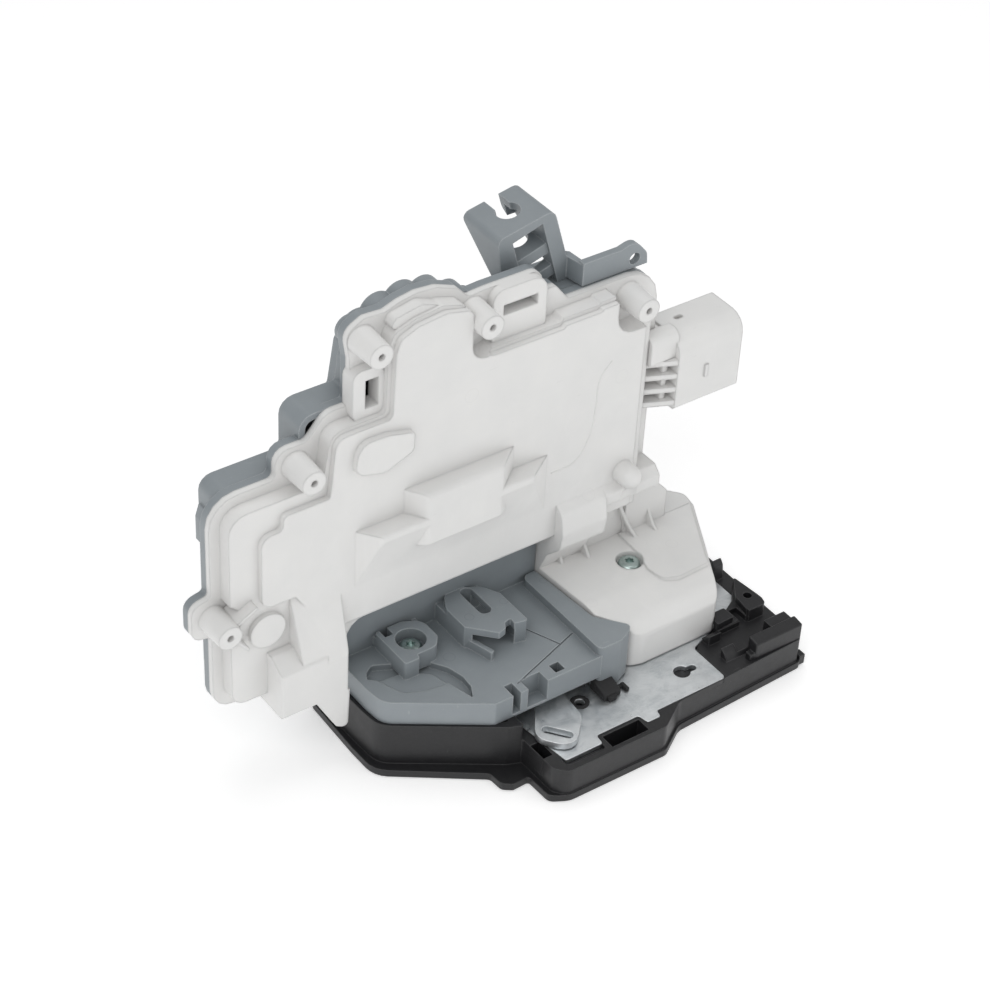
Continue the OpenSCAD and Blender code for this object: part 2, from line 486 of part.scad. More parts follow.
// moulded white cover with its bosses, clip loops and the foot over the latch
module front_cover() color(white) {
    difference() {
        union() {
            wall(rim_line, rim_y, part_y);
            difference() {
                union() {
                    wall(panel_line, rim_y - panel_rise, part_y);
                    wall(level_line, level_y, part_y);
                    wall([[-92.8, 108.4, 4], [-82, 105.4, 6], [-71.7, 109.8, 2], [-71.7, 116.4, 1], [-81, 118.8, 5],
                        [-91, 119.2, 5]], level_y - 2.2, part_y);
                    wall([[-78, 152, 2.2], [-66, 150, 2], [-60.5, 150, 2], [-60, 154.4, 2.4], [-67, 157, 3], [-76, 155.2, 2.4]],
                        rim_y - 4, part_y);
                    disc_y([-121.3, 60], 6.2, rim_y - panel_rise - 1.6, part_y);
                }
                boss_seats(0, 0, rim_y);
            }
            cover_bumps(0);
            cover_foot(0);
            // clip loops of the snap hooks
            wall([[-90, 121.2, 5], [-79.2, 121.2, 5], [-79.2, 140.5, 3], [-90, 140.5, 3]], rim_y - 3.4, part_y);
            wall([[-40.6, 133, 1], [-20.5, 133, 1], [-20.5, 151, 5.5], [-40.6, 151, 4]], rim_y - 3, part_y);
            // tongue beside the latch
            wall([[-109, 30, 0], [-101.5, 16.5, 3], [-97.2, 14.2, 1.5], [-96.6, 30, 0]], 12.6, 15.4);
        }
        // hollow inside, open to the back
        difference() {
            union() {
                wall(inset(panel_line, cover_wall), rim_y - panel_rise + cover_wall, part_y + 1);
                wall(inset(level_line, cover_wall), level_y + cover_wall, part_y + 1);
                cover_bumps(cover_wall);
            }
            boss_seats(cover_wall, 0, 60);
            block([-15, 0, 28], [24.5, 40, 62.5]);
        }
        cover_foot(cover_wall);
        block([-88.8, -20, 10], [-15, part_y + 1, 44.9]);
        block([-16, -9.6, bar_z - 0.6], [2, -2, bar_z + 2.6]);
        // slots of the clip loops
        block([-85.6, rim_y - 5, 126.6], [-81, 40, 136.6]);
        block([-36.6, rim_y - 5, 141.6], [-24, 40, 145.2]);
        disc_z(foot_screw_at, 4.6, foot_top - 2.4, 60);
        disc_z(foot_screw_at, 2.2, 0, 60);
        for (b = bosses) disc_y(b, 1.1, 0, 40);
    }
    difference() {
        for (b = bosses) translate([b[0], rim_y + 0.5, b[1]]) rotate([90, 0, 0])
            cylinder(h = boss_len + 0.5, r1 = boss_d / 2 + 0.3, r2 = boss_d / 2 - 0.25);
        for (b = bosses) disc_y(b, 1.1, 0, 40);
    }
    // seat of the foot's screw
    difference() {
        disc_z(foot_screw_at, 6.2, foot_top - 5.2, foot_top - 2.2);
        disc_z(foot_screw_at, 4.6, foot_top - 2.4, 60);
        disc_z(foot_screw_at, 2.2, 0, 60);
    }
    // blind dome over the shoulder
    disc_y([11.6, 66.4], 3.9, level_y - 4, level_y + 1);
    translate([11.6, level_y - 4, 66.4]) sphere(r = 3.9, $fn = 32);
    for (a = [28, -52]) translate([bosses[3][0], rim_y - 6.5, bosses[3][1]]) rotate([0, -a, 0])
        rotate([90, 0, 0]) translate([0, 0, -6]) linear_extrude(8.5) polygon([[3.6, -0.6], [12, -0.5], [12, 0.5], [3.6, 0.6]]);
}
module cover_foot(d) {
    top = foot_top - d;
    low = d > 0 ? 0 : back_top + 0.4;
    back = part_y + (d > 0 ? 1 : 0);
    intersection() {
        slab(inset(foot_line, d), low, 60);
        union() {
            rib([[-12.9 + d, low, 0], [back, low, 0], [back, top, 0], [3, top, 16], [-9.6 + d, top - 2.4, 7],
                [-12.9 + d, top - 7, 3]], -30, 60);
            block([26.6 + d, 20, low], [60, 60, top]);
        }
    }
    if (d == 0) {
        // raised part of the foot's top, right of the screw
        intersection() {
            slab(inset(foot_line, 1), foot_top - 1, foot_top + 0.7);
            slab([[18.4, 26, 0], [17.6, 14, 2], [15.4, 6.4, 3], [16.4, -0.2, 3], [21.5, -2.4, 5], [34.6, -2, 1], [60, 26, 0]],
                0, 60);
        }
        // lip below the panel, the block left of it and the curved ribs under it
        rib([[part_y, 50, 0], [part_y, 63.2, 0], [19.6, 63.2, 0.5], [16.8, 60.4, 1.5], [16.8, 56.4, 1], [20, 54, 1]], -14.5, 25.8);
        rib([[part_y, 31, 0], [part_y, 63, 0], [19.6, 63, 0.5], [16.2, 60.4, 3], [15, 53, 6], [16, 46.5, 4], [22.6, 40, 5],
            [26.4, 31, 0]], -14.5, 3.6);
        translate([22.4, 0, foot_top]) rotate([0, -21, 0])
            rib([[27.4, -1, 0], [27.4, 18, 0], [25.2, 17, 2], [24.6, 9, 8], [23.2, 3.6, 5], [20.4, -0.4, 0], [20.4, -1, 0]], -0.6, 0.6);
        rib([[27.4, 31, 0], [27.4, 43, 0], [26.2, 42.4, 0.5], [25.2, 38, 4], [22.6, 34, 5], [18.6, 31.8, 0]], 29.6, 30.8);
        rib([[27.4, 31, 0], [27.4, 40, 0], [25, 39.4, 0.5], [24.4, 35.4, 3], [21.4, 31.8, 0]], 2.4, 3.6);
        rib([[27.4, 31, 0], [27.4, 37, 0], [26, 36.4, 0.5], [25, 34, 2], [23.6, 31.8, 0]], -7, -5.8);
        wall([[20, 31, 0], [37.4, 31, 0], [37.4, 43.6, 2], [26.6, 55.2, 1], [20, 58, 0]], part_y - 3.4, part_y);
    }
}

// rim and deep body of the grey shell, x and z
shell_rim = concat([[-137, 30, 7], [-94.5, 30, 1], [-94.5, 54.3, 1], [-14.2, 54.3, 1], [-14.2, 23, 0.5], [26, 23, 1]],
    [for (i = [6:len(rim_line) - 1]) rim_line[i]]);
shell_line = [[-132.4, 34, 5], [-94.5, 34, 2], [-94.5, 54.3, 1], [-14.2, 54.3, 1], [-14.2, 23, 1], [25, 23, 2],
    [24.4, 136, 10], [-10, 136.2, 1], [-15, 140, 2], [-40, 141.6, 3], [-46, 147, 2], [-52, 150.2, 2], [-58, 151.6, 2],
    [-64, 152, 2], [-70, 150.2, 2], [-76, 147, 2], [-82, 143.4, 3], [-84.6, 136, 2], [-85.5, 127, 1], [-104.9, 127, 5], [-104.9, 109.8, 3],
    [-132.4, 109.8, 4.5]];
bulge_line = [[-88, 86, 6], [-62, 86, 4], [-62, 100, 3], [4, 100, 8], [4, 134.4, 3], [-38, 134.4, 3], [-41.4, 140.8, 3],
    [-66, 140.8, 7], [-79, 134.5, 3], [-81.6, 117, 3], [-88, 116, 5]];
bulge_y = 50.4;

module rear_shell() color(grey) {
    difference() {
        union() {
            wall(shell_rim, part_y, part_y + 2.8);
            wall(shell_line, part_y, shell_back);
            wall(bulge_line, part_y, bulge_y);
            // ears round the screw bosses and domes along the top
            for (b = bosses) disc_y(b, 4.4, part_y, part_y + 5);
            disc_y([-80.4, 146.6], 6, part_y, part_y + 7.6);
            disc_y([-73.4, 149.4], 6.2, part_y, part_y + 8);
            disc_y([-65.4, 150.6], 6.2, part_y, part_y + 8);
            disc_y([-57.6, 150], 5.8, part_y, part_y + 8);
            disc_y([-49.6, 146.4], 5.4, part_y, part_y + 7.6);
            // snap lug at the left
            wall([[-134.2, 88, 0.5], [-130, 88, 0], [-130, 101, 0], [-133, 101, 0.5], [-134.2, 97, 1]], part_y + 6, shell_back - 1);
        }
        wall(inset(shell_line, shell_wall), part_y - 1, shell_back - shell_wall);
        wall(inset(bulge_line, shell_wall), part_y - 1, bulge_y - shell_wall);
        // groove of the seal
        difference() {
            wall(inset(shell_rim, 1), part_y - 1, part_y + 1.2);
            wall(inset(shell_rim, 1.9), part_y - 2, part_y + 2);
        }
        for (b = bosses) disc_y(b, 1.3, 0, 60);
    }
}
module case_seal() color(black)
    difference() {
        wall(inset(shell_rim, 1.15), part_y, part_y + 1.15);
        wall(inset(shell_rim, 1.75), part_y - 2, part_y + 2);
    }

// leaning clip tower of the inside-handle cable, its tab and gusset
tower_line = [[-27.3, 136, 0], [-1, 136, 0], [-4.6, 145.8, 0], [-10, 163, 3], [-30.8, 158.8, 2.5]];
tower_lean = 17;
module cable_bracket() color(grey) {
    y0 = 36;
    y1 = 54.4;
    difference() {
        union() {
            intersection() {
                wall(tower_line, y0, y1);
                tower_side(y0, y1, 0);
            }
            wall([[-2.8, 136.9, 0], [22.4, 136.9, 0], [22, 141, 4], [17.2, 146.6, 4.5], [11.6, 145, 1.5], [-2.8, 145, 0]],
                29.1, 31.7);
            slab([[-2.8, 29.1, 0], [-1, 29.1, 0], [-1.6, 38, 0], [-3.4, 39.6, 0], [-4.6, 39.6, 0]], 136.9, 144.4);
        }
        shell_space();
        translate([-20, 0, 158.6]) rotate([0, -tower_lean, 0]) {
            // window, hollow inside and the notch that the cable snaps into
            block([-5.6, 0, -30], [5.8, y1 - 2.2, -0.9]);
            block([-2.2, y1 - 11, -14], [3, 60, 10]);
            disc_z([0.4, y1 - 8.6], 3.9, -2.4, 10);
        }
        disc_y([17.2, 140.2], 2, 0, 60);
    }
    // two curved ledges inside that guide the sleeve
    difference() {
        intersection() {
            wall(inset(tower_line, 1), y0 + 1, y1 - 1);
            tower_side(y0, y1, 1);
            ledges(y0, y1);
        }
        shell_space();
    }
}
module shell_space() {
    wall(shell_line, 0, shell_back);
    wall(bulge_line, 0, bulge_y);
    wall(shell_rim, 0, part_y + 2.9);
    disc_y(bosses[4], 4.7, 0, part_y + 5.3);
}
// side view of the tower: its back slopes in towards the shell
module tower_side(y0, y1, d) {
    rib([[y0 + d, 120, 0], [40, 120, 0], [40, 141.2, 0], [42.4 - d, 143.4, 0], [y1 - d, 156.6, 3], [y1 - d, 175, 0], [y0 + d, 175, 0]],
        -60, 40);
}
module ledges(y0, y1) {
    translate([-20, 0, 158.6]) rotate([0, -tower_lean, 0]) for (z = [-9.4, -18.4]) difference() {
        block([-6, y0 + 1, z - 4], [6, y1 - 1, z]);
        disc_z([0.4, y1 - 8.6], 3.9, z - 9, z + 5);
        block([-2.2, y1 - 8.6, z - 9], [3, 60, z + 5]);
    }
}

// socket of the wiring plug, open towards +X
module connector() color(white) {
    difference() {
        union() {
            rib([[18, 83.9, 1.5], [35.5, 83.9, 1.5], [35.5, 111, 1.5], [18, 111, 6]], 30, 56);
            rib([[21, 84.5, 1], [36.6, 84.5, 1], [36.6, 112, 1], [21, 112, 5]], 26.02, 28);
            rib([[22.4, 88, 1], [35, 88, 1], [35, 109, 1], [22.4, 109, 5]], 27, 31);
            for (z = [86, 91.2, 96.4, 101.6]) slab([[19.9, 26.2, 0], [19.9, 22.4, 0.3], [29.6, 18.2, 0.3], [31, 18.2, 0],
                [31, 26.2, 0]], z, z + 2);
            rib([[20, 103.2, 1], [26.2, 103.2, 0], [26.2, 113.4, 1], [20, 113.4, 5]], 19.9, 31);
            block([41, 17.4, 93.4], [42.4, 18.4, 98]);
        }
        rib([[20.2, 86.1, 1], [33.3, 86.1, 1], [33.3, 108.8, 1], [20.2, 108.8, 4]], 35, 60);
        slot_z([36.9, 29.3], [38.6, 29.3], 1.7, 105, 120);
        for (i = [0:4]) for (y = [23.4, 29.4]) block([30, y - 0.5, 91 + 3.6 * i - 0.5], [36, y + 0.5, 91 + 3.6 * i + 0.5]);
    }
}
module terminals() color(brass)
    for (i = [0:4]) for (y = [23.4, 29.4]) block([30, y - 0.45, 91 + 3.6 * i - 0.45], [48, y + 0.45, 91 + 3.6 * i + 0.45]);

module pan_screw(at, z, depth) {
    difference() {
        union() {
            translate([at[0], at[1], z]) rotate_extrude() polygon([[0, -depth], [1.1, -depth], [1.34, -depth + 0.6], [1.34, 0],
                [3.85, 0], [3.85, 0.8], [3.5, 1.7], [2.6, 2.3], [0, 2.4]]);
        }
        translate([at[0], at[1], z + 0.9]) for (a = [0, 60, 120]) rotate([0, 0, a]) {
            translate([-1.5, -0.45, 0]) cube([3, 0.9, 3]);
        }
        translate([at[0], at[1], z + 0.9]) cylinder(h = 3, r = 1.15);
    }
}
module case_screws() color(zinc) {
    pan_screw(collar_at, floor_z + 1.6, 19);
    pan_screw(foot_screw_at, foot_top - 2.4, 13);
}

// involute gear of n teeth, as points round its centre
function inv(a) = tan(a) - a * PI / 180;
function flank(n, r, side) = let (rp = gear_m * n / 2, rb = rp * cos(20),
    a = r <= rb ? 0 : acos(rb / r),
    half = 90 / n - backlash / 2 / rp * 90 / PI + (inv(20) - inv(a)) * 180 / PI) side * half;
function gear(n) = let (rp = gear_m * n / 2, rr = rp - 1.2 * gear_m, ra = rp + gear_m)
    [for (i = [0:n - 1]) let (c = i * 360 / n)
        each [for (s = [[rr, -1], [max(rr, rp * cos(20)) + 0.05, -1], [rp + 0.1, -1], [ra, -1],
            [ra, 1], [rp + 0.1, 1], [max(rr, rp * cos(20)) + 0.05, 1], [rr, 1]])
            let (a = c + flank(n, s[0], s[1])) s[0] * [cos(a), sin(a)]]];
module gear_y(c, n, y0, y1) {
    translate([c[0], y1, c[2]]) rotate([90, 0, 0]) linear_extrude(y1 - y0) polygon(gear(n));
}
// a rack whose teeth point to -X; the pitch line is at x
module rack_y(x, zc, count, y0, y1, back) {
    p = PI * gear_m;
    h = p / 4 - backlash / 4;
    t = tan(20);
    translate([x, y1, zc]) rotate([90, 0, 0]) linear_extrude(y1 - y0) polygon(concat(
        [[back, p * (count / 2 + 0.3)], [1.2, p * (count / 2 + 0.3)]],
        [for (i = [0:count - 1]) let (z = p * (count / 2 - 0.5 - i))
            each [[1.2, z + h + 1.2 * t], [-0.9, z + h - 0.9 * t], [-0.9, z - h + 0.9 * t], [1.2, z - h - 1.2 * t]]],
        [[1.2, -p * (count / 2 + 0.3)], [back, -p * (count / 2 + 0.3)]]));
}
// worm: one start, drawn along Z from its middle, crest away from direction 0
module worm(turns) {
    lead = PI * gear_m;
    translate([0, 0, -lead * turns / 2]) rotate([0, 0, 180 - 180 * turns])
        linear_extrude(lead * turns, twist = -360 * turns, slices = 10 * turns) translate([0.9, 0]) circle(r = 2.6, $fn = 12);
}
module motor_can(length, r, flat_r) {
    intersection() {
        cylinder(h = length, r = r);
        translate([-r - 1, -flat_r, -1]) cube([2 * r + 2, 2 * flat_r, length + 2]);
    }
    difference() {
        translate([0, 0, length - eps]) cylinder(h = 1.6, r = 3);
        translate([0, 0, length - 3]) cylinder(h = 6, r = 1.06);
    }
}
lock_motor_x = lock_worm_at[0] - 41;
safe_motor_z = safe_worm_at[2] - 27.1;
module lock_motor() color(zinc)
    difference() {
        translate([lock_motor_x, lock_worm_at[1], lock_worm_at[2]]) rotate([0, 90, 0]) motor_can(28, 9, 7);
        disc_x([lock_worm_at[1], lock_worm_at[2]], 1.06, lock_motor_x + 22, 0);
    }
module lock_worm() color(steel)
    translate(lock_worm_at) {
        rotate([0, 90, 0]) rotate([0, 0, 180]) worm(3);
        rotate([0, -90, 0]) cylinder(h = 15.4, r = 1);
    }
module drive_gear(c) {
    difference() {
        union() {
            gear_y(c, wheel_teeth, c[1] - 1.3, c[1] + 1.3);
            gear_y(c, pinion_teeth, c[1] + 1.2, c[1] + 5.8);
        }
        disc_y([c[0], c[2]], 1.5 + pin_gap, 0, 80);
        for (a = [0:60:300]) disc_y([c[0] + 9.6 * cos(a), c[2] + 9.6 * sin(a)], 2.4, 0, 80);
    }
}
module lock_gear() color(amber) drive_gear(lock_wheel_at);
module lock_rack() color(black) {
    x = lock_wheel_at[0] + pinion_r;
    rack_y(x, lock_wheel_at[2] - PI * gear_m, 10, lock_wheel_at[1] + 1.9, lock_wheel_at[1] + 5.6, 4);
    block([x + 1.5, lock_wheel_at[1] + 1.9, lock_wheel_at[2] - 22], [x + 8, lock_wheel_at[1] + 5.6, lock_wheel_at[2] - 17]);
}
module safe_motor() color(zinc)
    difference() {
        translate([safe_worm_at[0], safe_worm_at[1], safe_motor_z]) motor_can(16, 7.2, 5.6);
        disc_z(safe_worm_at, 1.06, safe_motor_z + 11, 200);
    }
module safe_worm() color(steel)
    translate(safe_worm_at) {
        worm(3);
        translate([0, 0, -15]) cylinder(h = 15, r = 1);
    }
module safe_gear() color(amber) drive_gear(safe_wheel_at);
module safe_rack() color(black) {
    x = safe_wheel_at[0] + pinion_r;
    rack_y(x, safe_wheel_at[2] + PI * gear_m, 8, safe_wheel_at[1] + 1.9, safe_wheel_at[1] + 5.6, 4);
}
module gear_axles() color(steel) {
    disc_y([lock_wheel_at[0], lock_wheel_at[2]], 1.5, 25, shell_back - shell_wall);
    disc_y([safe_wheel_at[0], safe_wheel_at[2]], 1.5, 37, bulge_y - shell_wall);
}
module contact_strip() color(brass)
    difference() {
        wall([[-32, 62, 1], [20, 62, 1], [20, 96, 2], [8, 98, 2], [-6, 98, 2], [-32, 84, 2]], shell_back - shell_wall - 1.2, shell_back - shell_wall);
        for (i = [0:3]) wall([[-28 + i * 3, 68 + i * 6, 0.5], [12 + i * 1.5, 68 + i * 6, 0.5], [12 + i * 1.5, 70 + i * 6, 0.5], [-28 + i * 3, 70 + i * 6, 0.5]], 30, 50);
    }
module micro_switches() color(black)
    for (p = [[-24, 74], [-6, 66], [6, 86]]) {
        y = shell_back - shell_wall - 1.2;
        block([p[0], y - 6, p[1]], [p[0] + 8, y, p[1] + 5.6]);
        block([p[0] + 2, y - 5, p[1] + 5.5], [p[0] + 3.4, y - 2, p[1] + 6.6]);
    }

// lever that the inside-handle cable pulls
inner_at = [-10, 115];
module inner_lever() color(black)
    difference() {
        union() {
            wall([[-14, 110, 4], [-6, 110, 4], [-5, 118, 4], [-16, 131, 2.5], [-20, 129, 2.5]], 44, 46.4);
            disc_y(inner_at, 3.6, 42.4, 48);
            wall([[-12, 118, 1], [-13, 103.4, 2.5], [-8, 103.4, 2.5], [-8, 118, 1]], 44, 46.4);
        }
        disc_y(inner_at, 2 + pin_gap, 0, 80);
        disc_y([-17, 128.6], 1.1, 0, 80);
    }
module inner_pivot() color(steel)
    disc_y(inner_at, 2, 41, bulge_y - shell_wall);

face_plate();
latch_housing();
back_plate();
catch_pin();
pawl_pin();
catch();
catch_jacket();
catch_spring();
catch_buffer();
pawl();
pawl_spring();
release_lever();
lever_pivot();
release_bar();
latch_cover();
front_cover();
rear_shell();
cable_bracket();
connector();
terminals();
case_screws();
case_seal();
lock_motor();
lock_worm();
lock_gear();
lock_rack();
safe_motor();
safe_worm();
safe_gear();
safe_rack();
gear_axles();
contact_strip();
micro_switches();
inner_lever();
inner_pivot();
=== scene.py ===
import json
import math
import bpy
import bmesh
from mathutils import Matrix, Vector

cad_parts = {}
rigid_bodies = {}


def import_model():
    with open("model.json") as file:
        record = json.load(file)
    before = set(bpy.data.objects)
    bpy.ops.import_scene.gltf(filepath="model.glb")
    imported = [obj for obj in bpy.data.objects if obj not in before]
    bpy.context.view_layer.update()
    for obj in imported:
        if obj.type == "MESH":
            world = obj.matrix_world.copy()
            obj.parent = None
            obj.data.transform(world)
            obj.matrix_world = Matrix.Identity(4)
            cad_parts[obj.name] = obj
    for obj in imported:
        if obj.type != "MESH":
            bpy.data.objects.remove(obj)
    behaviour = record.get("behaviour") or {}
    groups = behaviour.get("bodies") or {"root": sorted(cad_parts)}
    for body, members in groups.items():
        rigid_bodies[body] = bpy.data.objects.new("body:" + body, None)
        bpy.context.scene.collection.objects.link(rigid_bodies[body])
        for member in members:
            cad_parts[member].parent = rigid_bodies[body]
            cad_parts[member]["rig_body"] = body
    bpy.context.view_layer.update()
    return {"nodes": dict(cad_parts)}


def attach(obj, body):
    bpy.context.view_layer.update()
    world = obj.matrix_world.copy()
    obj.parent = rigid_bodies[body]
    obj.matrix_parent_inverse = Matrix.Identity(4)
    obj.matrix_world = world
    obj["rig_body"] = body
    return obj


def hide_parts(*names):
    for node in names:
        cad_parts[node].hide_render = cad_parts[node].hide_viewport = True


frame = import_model()

# The white front cover: injection-moulded in a satin white plastic, its edges
# broken by the mould's small radii, with five tall screw bosses, two clip
# loops, stepped bulges over the motor and the foot over the latch.
MM = 0.001
WELD = 0.004 * MM  # points of a CAD mesh nearer than this are one point
FLAT = math.radians(0.6)  # faces of a CAD mesh that turn less than this are one face
RING_HALF = 0.11 * MM  # half the width of an ejector pin's ring
RING_SOFT = 0.07 * MM  # how softly that ring ends
SKIN_DEEP = 0.07 * MM  # how deep the grain of a moulded skin goes
HIGHLIGHT_REACH = 1.2 * MM  # an edge with a wall nearer than this gets no painted highlight


class Tone:
    """A value in a finish; the usual signs on it add Math nodes."""

    def __init__(self, finish, socket):
        self.finish = finish
        self.socket = socket

    def maths(self, kind, a, b):
        return self.finish.add("ShaderNodeMath", {"operation": kind}, [a, b])

    def __add__(self, other):
        return self.maths("ADD", self, other)

    def __mul__(self, other):
        return self.maths("MULTIPLY", self, other)

    def __sub__(self, other):
        return self.maths("SUBTRACT", self, other)

    def __rsub__(self, other):
        return self.maths("SUBTRACT", other, self)

    __radd__ = __add__
    __rmul__ = __mul__

    def size(self):
        """The value without its sign."""
        return self.finish.add("ShaderNodeMath", {"operation": "ABSOLUTE"}, [self])

    def above(self, edge, soft):
        """0 below the edge, 1 above it, with a soft step between."""
        return self.finish.add("ShaderNodeMapRange", {"interpolation_type": "SMOOTHSTEP"},
                               [self, edge - soft, edge + soft, 0.0, 1.0])


class Finish:
    """One surface finish: a shader with its even values, and what varies over it."""

    def __init__(self, name, colour, rough, metal=0.0, spec=0.5):
        self.material = bpy.data.materials.new(name)
        self.material.use_nodes = True
        self.material.diffuse_color = (*colour, 1.0)
        self.tree = self.material.node_tree
        self.shader = self.tree.nodes["Principled BSDF"]
        for socket, value in (("Base Color", (*colour, 1.0)), ("Roughness", rough), ("Metallic", metal),
                              ("Specular IOR Level", spec)):
            self.shader.inputs[socket].default_value = value

    def add(self, kind, settings=None, values=(), named=None, out=0):
        """Adds a node: its settings first, then the values or links of its sockets."""
        node = self.tree.nodes.new(kind)
        for key, value in (settings or {}).items():
            setattr(node, key, value)
        for key, value in [*enumerate(values), *(named or {}).items()]:
            if isinstance(value, Tone):
                self.tree.links.new(value.socket, node.inputs[key])
            else:
                node.inputs[key].default_value = value
        return Tone(self, node.outputs[out])

    def mix(self, factor, a, b):
        """Goes from colour a to colour b."""
        a, b = [(*colour, 1.0) if isinstance(colour, tuple) else colour for colour in (a, b)]
        return self.add("ShaderNodeMix", {"data_type": "RGBA"}, (), {0: factor, 6: a, 7: b}, out=2)

    def place(self, stretch=(1, 1, 1)):
        """Where on the piece a point lies, in metres, stretched for a pattern."""
        here = self.add("ShaderNodeTexCoord", out=3)
        return self.add("ShaderNodeMapping", None, (), {"Vector": here, "Scale": stretch})

    def grain(self, scale, detail=3.0, rough=0.55, stretch=(1, 1, 1), seed=0.0, warp=0.0):
        """Cloudy noise, with features about 1 / scale metres across."""
        return self.add("ShaderNodeTexNoise", {"noise_dimensions": "4D"}, (),
                        {"Vector": self.place(stretch), "W": seed, "Scale": scale, "Detail": detail,
                         "Roughness": rough, "Distortion": warp})

    def pin_marks(self, pins):
        """The faint rings that the mould's ejector pins leave, as 0 to 1; a pin is (x, y, z, radius) in mm."""
        rings = []
        for x, y, z, radius in pins:
            far = self.add("ShaderNodeVectorMath", {"operation": "DISTANCE"},
                           [self.place(), (x * MM, y * MM, z * MM)], out=1)
            rings.append(1.0 - (far - radius * MM).size().above(RING_HALF, RING_SOFT))
        return sum(rings[1:], rings[0])

    def open_sky(self, reach):
        """How little stands within reach of a point, as 0 to 1."""
        return self.add("ShaderNodeAmbientOcclusion", {"samples": 4}, (), {"Distance": reach}, out=1)

    def painted_edge_highlight(self, radius, least=0.05):
        """Edges that stand out, as 0 to 1, where a painted highlight goes."""
        rounded = self.add("ShaderNodeBevel", {"samples": 4}, [radius * MM])
        plain = self.add("ShaderNodeNewGeometry", out=1)
        bent = 1.0 - self.add("ShaderNodeVectorMath", {"operation": "DOT_PRODUCT"}, [rounded, plain], out=1)
        return bent.above(least, least * 0.8) * self.open_sky(HIGHLIGHT_REACH).above(0.62, 0.14)

    def painted_crease_shade(self, reach):
        """Corners and grooves, as 0 to 1, where painted shade darkens the colour."""
        return 1.0 - self.open_sky(reach * MM)

    def feed(self, socket, tone):
        self.tree.links.new(tone.socket, self.shader.inputs[socket])

    def uneven(self, scale, seed, spread, least, detail=3.0):
        """Roughness that wanders a little over the piece."""
        self.feed("Roughness", self.grain(scale, detail, seed=seed) * spread + least)

    def bump(self, height, strength, deep, soften):
        """Fine relief, over edges that are first rounded by so many millimetres."""
        under = self.add("ShaderNodeBevel", {"samples": 6}, [soften * MM])
        self.feed("Normal", self.add("ShaderNodeBump", None, (), {
            "Strength": strength, "Distance": deep, "Height": height, "Normal": under}))

    def on(self, piece):
        piece.data.materials.clear()
        piece.data.materials.append(self.material)

    def on_nodes(self, *names):
        """For CAD pieces that are shown just as they are."""
        for name in names:
            self.on(frame["nodes"][name])


def dress(node, finish, width, segments=3, angle=28):
    """Shows a copy of a CAD piece in its finish, its edges rounded as the mould or press leaves them."""
    source = frame["nodes"][node]
    bm = bmesh.new()
    bm.from_mesh(source.data)
    bmesh.ops.remove_doubles(bm, verts=bm.verts, dist=WELD)
    bmesh.ops.dissolve_degenerate(bm, edges=bm.edges, dist=WELD)
    bmesh.ops.dissolve_limit(bm, angle_limit=FLAT, verts=bm.verts, edges=bm.edges, delimit={"NORMAL"})
    for face in bm.faces:
        face.smooth = True
    mesh = bpy.data.meshes.new(node + "_skin")
    bm.to_mesh(mesh)
    bm.free()
    piece = bpy.data.objects.new(node + "_skin", mesh)
    bpy.context.scene.collection.objects.link(piece)
    soft = piece.modifiers.new("edges", "BEVEL")
    soft.width = width * MM
    soft.segments = segments
    soft.profile = 0.5
    soft.limit_method = "ANGLE"
    soft.angle_limit = math.radians(angle)
    soft.use_clamp_overlap = True
    soft.loop_slide = False
    soft.miter_outer = "MITER_ARC"
    even = piece.modifiers.new("shading", "WEIGHTED_NORMAL")
    even.mode = "FACE_AREA"
    even.weight = 60
    even.keep_sharp = False
    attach(piece, source["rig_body"])
    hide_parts(node)
    finish.on(piece)


white = Finish("white_plastic", (0.80, 0.80, 0.785), 0.42, spec=0.45)
clouds = white.grain(55, 4.0, 0.6, seed=1.0)
flow = white.grain(38, 5.0, 0.7, stretch=(1, 1, 0.35), seed=5.0, warp=1.2)
scuffs = white.grain(150, 6.0, 0.75, stretch=(1, 1, 6), seed=6.0, warp=0.5).above(0.66, 0.03)
marks = white.pin_marks(((-50, 19.4, 120, 2.4), (8, 19.4, 105, 2.4), (-2, 19.4, 62, 2.4), (-118, 22, 60, 2.0),
                         (-10, 3, 32, 1.8), (30, 12, 32.7, 2.0)))
base = white.mix(clouds, (0.745, 0.748, 0.742), (0.845, 0.84, 0.825))
base = white.mix(flow.above(0.6, 0.12) * 0.35, base, (0.86, 0.86, 0.85))
# painted shade: the corners and grooves of the white pieces made darker
base = white.mix(white.painted_crease_shade(9) * 0.5, base, (0.60, 0.585, 0.575))
white.feed("Base Color", white.mix(scuffs * 0.25 + marks * 0.14, base, (0.60, 0.60, 0.59)))
white.feed("Roughness", white.grain(160, 3.0, seed=2.0) * 0.18 + scuffs * 0.12 + flow * 0.1 + 0.29)
relief = white.grain(2600, 2.0, seed=3.0) + white.grain(90, 2.0, seed=4.0) * 1.5 - marks * 2.2 - scuffs * 0.3
white.bump(relief, strength=0.16, deep=SKIN_DEEP, soften=1.1)
dress("front_cover", white, width=0.45)
